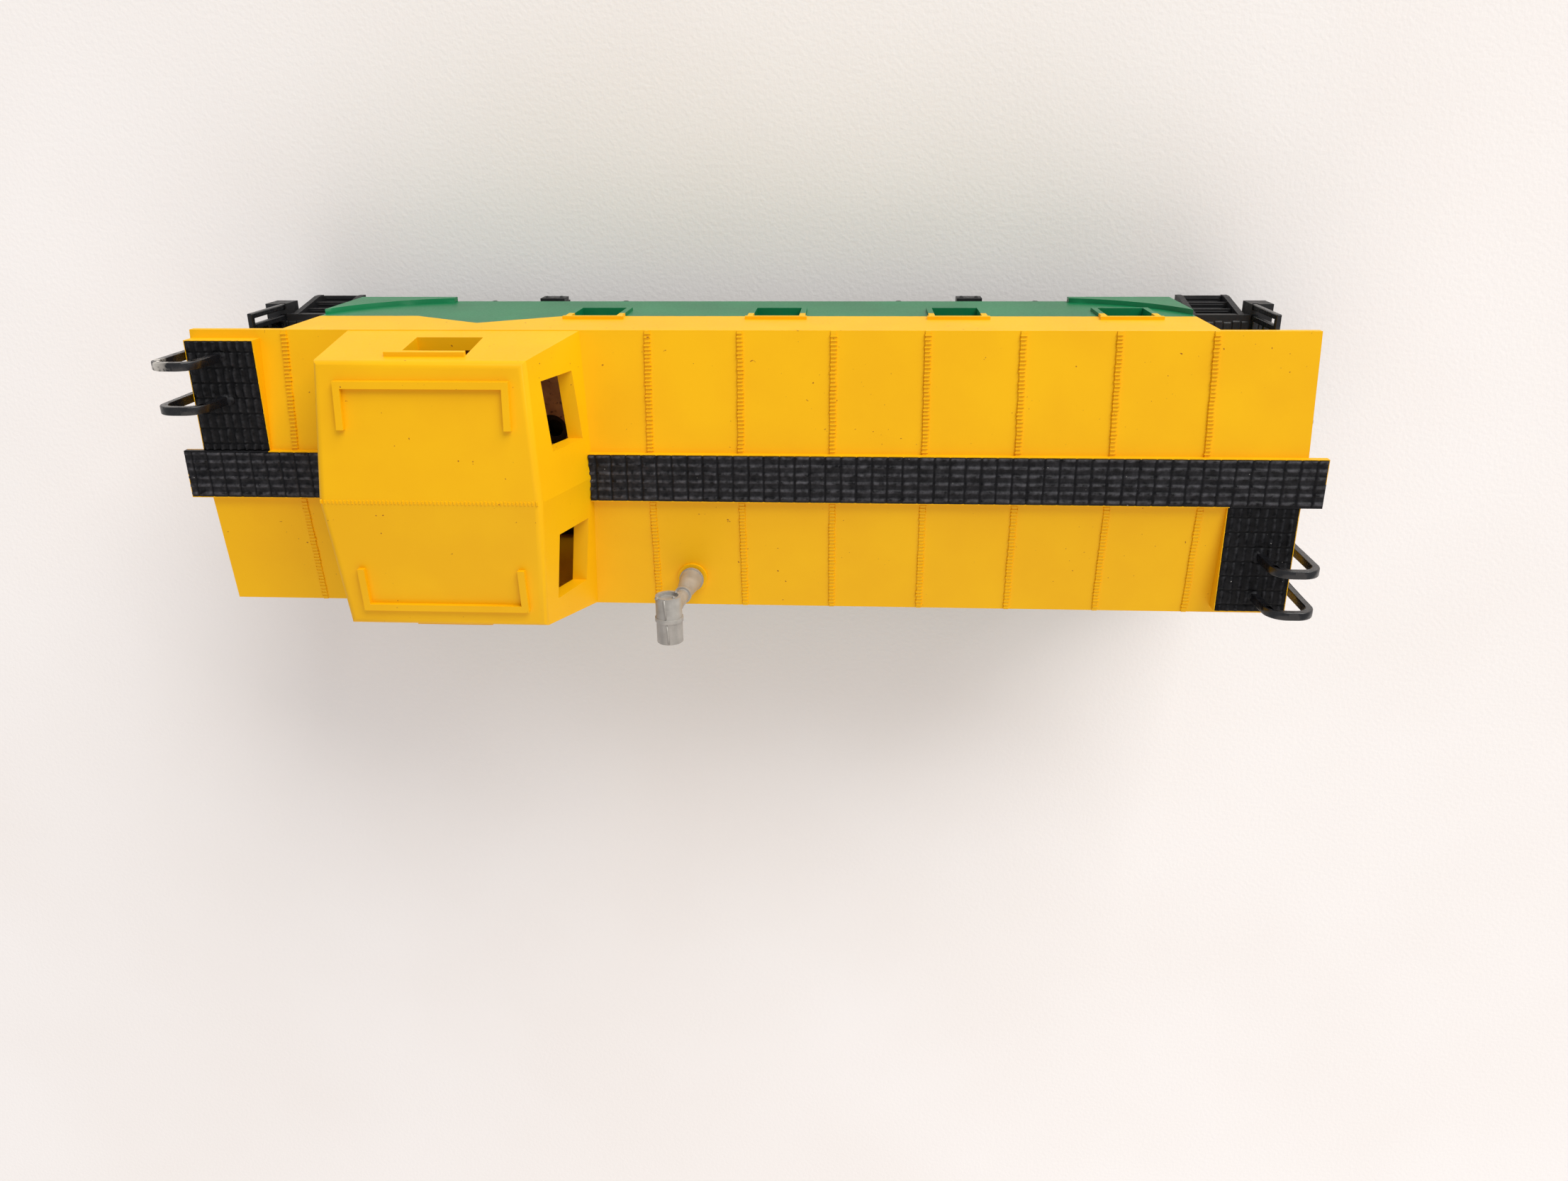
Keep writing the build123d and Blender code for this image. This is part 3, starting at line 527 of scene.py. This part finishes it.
# Where the plastic was bent past its strength it crazes white, in patches, and dull.
BREAK_AT = Vector((-66.2, 14.2, 44.3))
bruised_black, tree, shader = new_material("stress_whitened_black_polystyrene",
                                           Specular_IOR_Level=0.5)
to_break = {0: object_place(tree), 1: BREAK_AT * MM}
from_break = node(tree, "VectorMath", to_break, operation="DISTANCE").node.outputs["Value"]
near_break = spread(tree, from_break, 0.8 * MM, 2.4 * MM, 1.0, 0.0)
patches = spread(tree, grain(tree, 0.9, 3.0), 0.44, 0.54)
whitened = maths(tree, "MULTIPLY", near_break, patches)
shade(tree, shader, whitened, "#141417", "#CFC9C0")
vary_gloss(tree, shader, 0.5, 0.2, 0.4)
roughen(tree, shader, grain(tree, 0.4, 4.0), 0.4, 0.08)

railings = [f"end_railing_{end}_{hand}" for end in "ab" for hand in ("left", "right")]
finish_cad(["end_ladder_b", "brake_wheel_a", "brake_wheel_b"] + railings, gloss_black, 0.16)
finish_cad(["end_ladder_a"], bruised_black, 0.16)

# each arch's foot is welded into the platform with lumps of solvent-softened plastic
FOOT_X, FOOT_YS = 61.9, (-14.2, -9.1)
for end, side in (("a", -1), ("b", 1)):
    lumps = bmesh.new()
    for y in FOOT_YS:
        for k in range(3):
            foot_x = side * (FOOT_X + random.uniform(-0.5, 0.1))
            foot_y = side * (y + random.uniform(-0.3, 0.3))
            radius = random.uniform(0.5, 0.8)
            rise = random.uniform(0.3, 0.5)
            add_dome(lumps, (foot_x, foot_y, PLATFORM_TOP), (0, 0, 1), radius, rise, 9)
    new_piece(lumps, "ladder_feet_" + end, platform_paint, "car", 0.1)

# ---------------------------------------------------------------------------
# Underframe. One black polystyrene moulding, matt from a textured mould: floor,
# sills, steps, tanks. Boards, rivets, step cleats and the brake gear are finer
# relief of the same moulding.
# ---------------------------------------------------------------------------
# The same plastic from a sand-blasted mould: matt, and grey with dust here and there.
matt_black, tree, shader = new_material("moulded_matt_black_polystyrene", Specular_IOR_Level=0.4)
dusty = spread(tree, grain(tree, 4.0, 5.0), 0.45, 0.75)
shade(tree, shader, dusty, "#161618", "#29282A")
vary_gloss(tree, shader, 0.4, 0.42, 0.6)
roughen(tree, shader, grain(tree, 0.25, 4.0), 0.25, 0.04)
finish_cad(["underframe"], matt_black, 0.12)

DECK_TOP = 13.0
DECK_IN, BOARDS = 56.8, 10         # middle of the first deck board, and how many there are
BEAM_OUT = 68.3                    # outer face of an end beam
BOARD = 1.15                       # deck boards, centre to centre
BOARD_WIDTH, BOARD_RISE = BOARD - 0.2, 0.16
RIVET_R, RIVET_RISE, RIVET_PITCH = 0.28, 0.16, 2.2
RIVET_ROWS = (10.2, 12.2)
COUPLER_CLEAR = 4.2                # no rivets nearer the coupler than this
STEP_LOW, STEP_RISE = EAVE_Z - 33.0, 2.6
STEP_X, CLEAT_PITCH, CLEAT_SIZE = 61.2, 0.45, (5.2, 0.2, 0.14)
LEVER_R, LEVER_Z, LEVER_YS = 0.24, 12.5, (4.6, 13.4)
for end, side in (("a", -1), ("b", 1)):
    fittings = bmesh.new()
    for k in range(BOARDS):
        x = side * (DECK_IN + k * BOARD)
        for half in (-1, 1):
            length = 14.6 + random.uniform(-0.1, 0.1)
            middle = (x, half * (0.2 + length / 2), DECK_TOP + 0.04)
            add_block(fittings, middle, (BOARD_WIDTH, length, BOARD_RISE), 0.97)
    for row_z in RIVET_ROWS:
        for k in range(-7, 8):
            y = k * RIVET_PITCH
            if abs(y) > COUPLER_CLEAR:
                add_dome(fittings, (side * BEAM_OUT, y, row_z), (side, 0, 0), RIVET_R, RIVET_RISE)
    for hand in (-1, 1):
        for k in range(3):
            out = 17.0 - 0.55 * k
            tread_z = STEP_LOW + STEP_RISE * k + 0.6
            for cleat in range(5):
                y = hand * (out - 0.35 - cleat * CLEAT_PITCH)
                add_block(fittings, (side * STEP_X, y, tread_z + 0.02), CLEAT_SIZE, 0.8)
        # uncoupling lever along the beam, in two eyes, with a handle hanging at its end
        lever_x = side * (BEAM_OUT + 0.45)
        handle_y = hand * (LEVER_YS[1] - 0.1)
        inner, outer = ((lever_x, hand * y, LEVER_Z) for y in LEVER_YS)
        add_rod(fittings, inner, outer, LEVER_R)
        top, bottom = ((lever_x, handle_y, LEVER_Z + dz) for dz in (0.1, -1.9))
        add_rod(fittings, top, bottom, LEVER_R)
        for y in (6.0, 12.0):
            add_block(fittings, (side * (BEAM_OUT + 0.3), hand * y, LEVER_Z), (0.9, 0.5, 0.8), 0.8)
    new_piece(fittings, "end_platform_relief_" + end, matt_black, "car", 0.05)

SILL_UNDER, SILL_RIVET_Y = 10.6, 1.7
PIPE_HALF, PIPE_Y, PIPE_Z = 53.0, 5.0, 12.1
TANK_Y, TANK_Z, TANK_R = 7.4, 9.9, 2.5
STRAP_R = TANK_R + 0.02
CYLINDER = Vector((-4.3, -7.2, 10.0))            # middle of the brake cylinder's head
LEVER_X, ROD_R = 8.8, 0.3
brakes = bmesh.new()
# air pipe over the wheels
add_rod(brakes, (-PIPE_HALF, PIPE_Y, PIPE_Z), (PIPE_HALF, PIPE_Y, PIPE_Z), 0.38)
# the air tank's end rings and straps, and the centre sill's rivets
for side in (-1, 1):
    inner, outer = ((side * ring_x, TANK_Y, TANK_Z) for ring_x in (7.4, 7.9))
    add_rod(brakes, inner, outer, TANK_R, TANK_R - 0.3, 24)
    for k in range(10):
        for y in (-SILL_RIVET_Y, SILL_RIVET_Y):
            add_dome(brakes, (side * (1.8 + 1.25 * k), y, SILL_UNDER), (0, 0, -1), 0.2, 0.12, 8)
for x in (-5.0, 0.0, 5.0):
    low, high = ((x + half * 0.35, TANK_Y, TANK_Z) for half in (-1, 1))
    add_rod(brakes, low, high, STRAP_R, STRAP_R, 24)
# the brake cylinder's head with its bolts, the lever, and the rods to both trucks
add_rod(brakes, CYLINDER, CYLINDER + Vector((0.4, 0, 0)), 2.3, 2.3, 24)
for k in range(6):
    angle = math.tau * k / 6
    bolt = CYLINDER + Vector((0, 1.8 * math.cos(angle), 1.8 * math.sin(angle)))
    add_dome(brakes, bolt, (-1, 0, 0), 0.22, 0.2, 6)
add_block(brakes, (LEVER_X, -4.6, CYLINDER.z), (0.7, 8.6, 0.5))
add_rod(brakes, (LEVER_X, -1.2, CYLINDER.z), (12.4, -1.2, CYLINDER.z), ROD_R)
add_rod(brakes, (LEVER_X, -4.0, CYLINDER.z), (-12.0, -4.0, CYLINDER.z), ROD_R)
new_piece(brakes, "brake_gear", matt_black, "car", 0.05)

# ---------------------------------------------------------------------------
# Weight plate. Hot-rolled steel strip, guillotined and punched, brown with a film
# of rust and oil, and clear to see through the cupola's open windows.
# ---------------------------------------------------------------------------
# Rust hides nearly all of the metal's shine. It is blotchy, with darker pits.
rusty_steel, tree, shader = new_material("rusted_hot_rolled_steel", Metallic=0.15)
blotch = spread(tree, grain(tree, 3.5, 6.0), 0.35, 0.65)
rust = blend_colour(tree, blotch, "#8F6340", "#CB9A66")
pits = spread(tree, grain(tree, 0.6, 5.0), 0.6, 0.72)
shade(tree, shader, pits, rust, "#4A2E1C")
tree.links.new(spread(tree, blotch, 0.0, 1.0, 0.45, 0.7), shader.inputs["Roughness"])
roughen(tree, shader, grain(tree, 0.5, 6.0), 0.4, 0.08)
finish_cad(["weight_plate"], rusty_steel, 0.1)

# ---------------------------------------------------------------------------
# Screws. Cold-headed steel, nickel plated on the coupler lids and the weight, and
# blackened on the kingpins, which the trucks turn on.
# ---------------------------------------------------------------------------
# Nickel is a warm bright grey, a little yellowed where it has tarnished.
nickel_plate, tree, shader = new_material("nickel_plated_steel", Metallic=1.0)
tarnish = spread(tree, grain(tree, 1.2, 5.0), 0.4, 0.7)
shade(tree, shader, tarnish, "#C9C4BA", "#9B9486")
vary_gloss(tree, shader, 0.3, 0.2, 0.38)
roughen(tree, shader, grain(tree, 0.3, 3.0), 0.1, 0.02)
finish_cad(["coupler_screw_a", "coupler_screw_b", "weight_screws"], nickel_plate, 0.05)

# The kingpins are blackened with oxide, and almost lost in the dark of their bores.
black_oxide, tree, shader = new_material("black_oxide_steel", Metallic=0.9)
shade(tree, shader, spread(tree, grain(tree, 0.8, 4.0), 0.4, 0.7), "#1B1A19", "#2B2927")
vary_gloss(tree, shader, 0.3, 0.4, 0.55)
finish_cad(["kingpin_a", "kingpin_b"], black_oxide, 0.05)

# ---------------------------------------------------------------------------
# Trucks. Each frame is one black polystyrene moulding. Its sides have bolt heads,
# hinged journal lids and rivets on the spring band, all moulded in.
# ---------------------------------------------------------------------------
AXLE_OFFSET = 9.5                  # from a truck's middle to each axle
TRUCK_X = 28.8
FRAME_OUT = 14.2                   # outer face of a sideframe
LID_Y = 16.1                       # outer face of a journal box
LID_HINGE_Z, LID_HALF = 7.35, 1.25
SPRING_OUT = FRAME_OUT + 2.2       # outer face of the spring band
SPRING_PLANK_OUT = 17.3
finish_cad(["truck_frame_a", "truck_frame_b"], matt_black, 0.14)
for end, side in (("a", -1), ("b", 1)):
    relief = bmesh.new()
    middle_x = side * TRUCK_X
    for hand in (-1, 1):
        outwards = (0, hand, 0)
        for place in (-1, 1):
            # a journal box: the lid's hinge, boss and rib, and the bolts over the box
            x = middle_x + place * AXLE_OFFSET
            hinge_y, bolt_y = hand * (LID_Y - 0.25), hand * (FRAME_OUT + 0.5)
            low, high = ((x + half * LID_HALF, hinge_y, LID_HINGE_Z) for half in (-1, 1))
            add_rod(relief, low, high, 0.3)
            add_dome(relief, (x, hand * LID_Y, 5.2), outwards, 0.75, 0.3, 16)
            add_block(relief, (x, hand * (LID_Y + 0.02), 6.3), (0.35, 0.2, 1.2))
            for bolt_x in (-1.55, 1.55):
                add_dome(relief, (x + bolt_x, bolt_y, 7.45), outwards, 0.28, 0.22, 6)
                add_dome(relief, (x + bolt_x, hand * FRAME_OUT, 9.1), outwards, 0.34, 0.3, 6)
        # bolts of the two columns, then rivets on the spring band and the spring plank
        for bolt_x in (-3.1, 3.1):
            for z in (3.9, 9.2):
                add_dome(relief, (middle_x + bolt_x, hand * FRAME_OUT, z), outwards, 0.34, 0.35, 6)
        for z in (4.5, 6.4):
            add_dome(relief, (middle_x, hand * SPRING_OUT, z), outwards, 0.32, 0.2, 10)
        for rivet_x in (-1.0, 1.0):
            rivet = (middle_x + rivet_x, hand * SPRING_PLANK_OUT, 8.3)
            add_dome(relief, rivet, outwards, 0.3, 0.18, 10)
    new_piece(relief, "truck_relief_" + end, matt_black, "truck_" + end, 0.05)

# ---------------------------------------------------------------------------
# Wheelsets. Wheels in black acetal, with curved cooling ribs on the back and a
# ring of small bosses on the face. Axles in ground bright steel.
# ---------------------------------------------------------------------------
AXLE_Z = 5.4
BACK_Y = 7.2                       # inner face of a wheel's rim
FACE_Y = 9.02                      # outer face of a wheel's web
RIBS, RIB_BLOCKS, RIB_SIZE = 9, 3, (0.34, 0.5, 0.75)
BOSSES, BOSS_CIRCLE = 6, 3.1

# Acetal is waxy: a dark, soft sheen with hardly any texture.
wheel_acetal, tree, shader = new_material("moulded_black_acetal", Specular_IOR_Level=0.5)
shade(tree, shader, spread(tree, grain(tree, 1.5, 4.0), 0.4, 0.7), "#151517", "#232325")
vary_gloss(tree, shader, 0.4, 0.28, 0.46)
roughen(tree, shader, grain(tree, 0.3, 3.0), 0.15, 0.03)

# Centreless-ground bar, bright, and slightly browned by handling.
bright_steel, tree, shader = new_material("ground_bright_steel", Metallic=1.0)
shade(tree, shader, spread(tree, grain(tree, 1.0, 4.0), 0.4, 0.7), "#B9B8B5", "#8E8B86")
vary_gloss(tree, shader, 0.3, 0.22, 0.36)
roughen(tree, shader, grain(tree, 0.25, 2.0), 0.1, 0.02)

for end, side in (("a", -1), ("b", 1)):
    for place, axle_side in (("outer", side), ("inner", -side)):
        wheelset = f"{end}_{place}"
        x = side * TRUCK_X + axle_side * AXLE_OFFSET
        finish_cad(["axle_" + wheelset], bright_steel, 0.08)
        finish_cad([f"wheel_{wheelset}_{hand}" for hand in ("left", "right")], wheel_acetal, 0.08)
        for hand, y_side in (("left", 1), ("right", -1)):
            ribs = bmesh.new()
            for k in range(RIBS):
                turn = Matrix.Rotation(math.tau * k / RIBS, 3, "Y")
                # each rib is a short run of blocks that bends more the further out it goes
                for j in range(RIB_BLOCKS):
                    bend = math.radians(8 * j * j)
                    radial = turn @ Matrix.Rotation(bend, 3, "Y") @ Vector((0, 0, 2.5 + 0.55 * j))
                    centre = Vector((x, y_side * (BACK_Y + 0.5), AXLE_Z)) + radial
                    lie = turn @ Matrix.Rotation(math.radians(10 + 14 * j), 3, "Y")
                    add_block(ribs, centre, RIB_SIZE, 1.0, lie)
            for k in range(BOSSES):
                turn = Matrix.Rotation(math.tau * k / BOSSES, 3, "Y")
                foot = Vector((x, y_side * FACE_Y, AXLE_Z)) + turn @ Vector((0, 0, BOSS_CIRCLE))
                add_dome(ribs, foot, (0, y_side, 0), 0.3, 0.12, 10)
            name = f"wheel_ribs_{wheelset}_{hand}"
            new_piece(ribs, name, wheel_acetal, "wheelset_" + wheelset, 0.05)

# ---------------------------------------------------------------------------
# Couplers. Black polystyrene knuckle couplers of no particular make, each in a
# box closed by a screwed lid, and kept central by a leaf of phosphor bronze.
# ---------------------------------------------------------------------------
HEAD_LOW, HEAD_TOP = 8.9, 11.9     # underside and top of a coupler's head
PIN_AT, STUD_AT = (74.2, 1.5), (71.3, -1.2)
finish_cad(["coupler_a", "coupler_b"], gloss_black, 0.14)
finish_cad(["coupler_lid_a", "coupler_lid_b"], matt_black, 0.1)
for end, side in (("a", -1), ("b", 1)):
    knuckle = bmesh.new()
    for face_z, up in ((HEAD_LOW, -1), (HEAD_TOP, 1)):
        for (x, y), radius, rise, sides in ((PIN_AT, 0.62, 0.22, 16), (STUD_AT, 0.3, 0.14, 12)):
            add_dome(knuckle, (side * x, side * y, face_z), (0, 0, up), radius, rise, sides)
    new_piece(knuckle, "coupler_pins_" + end, gloss_black, "coupler_" + end, 0.04)

# Rolled strip, the colour of an old coin.
phosphor_bronze, tree, shader = new_material("rolled_phosphor_bronze", Metallic=1.0)
shade(tree, shader, spread(tree, grain(tree, 0.8, 4.0), 0.4, 0.7), "#C58F55", "#8F6238")
vary_gloss(tree, shader, 0.3, 0.25, 0.42)
finish_cad(["coupler_spring_a", "coupler_spring_b"], phosphor_bronze)

size = {"cad": [list(cad_low), list(cad_high)], "visual": [list(corner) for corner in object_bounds()]}
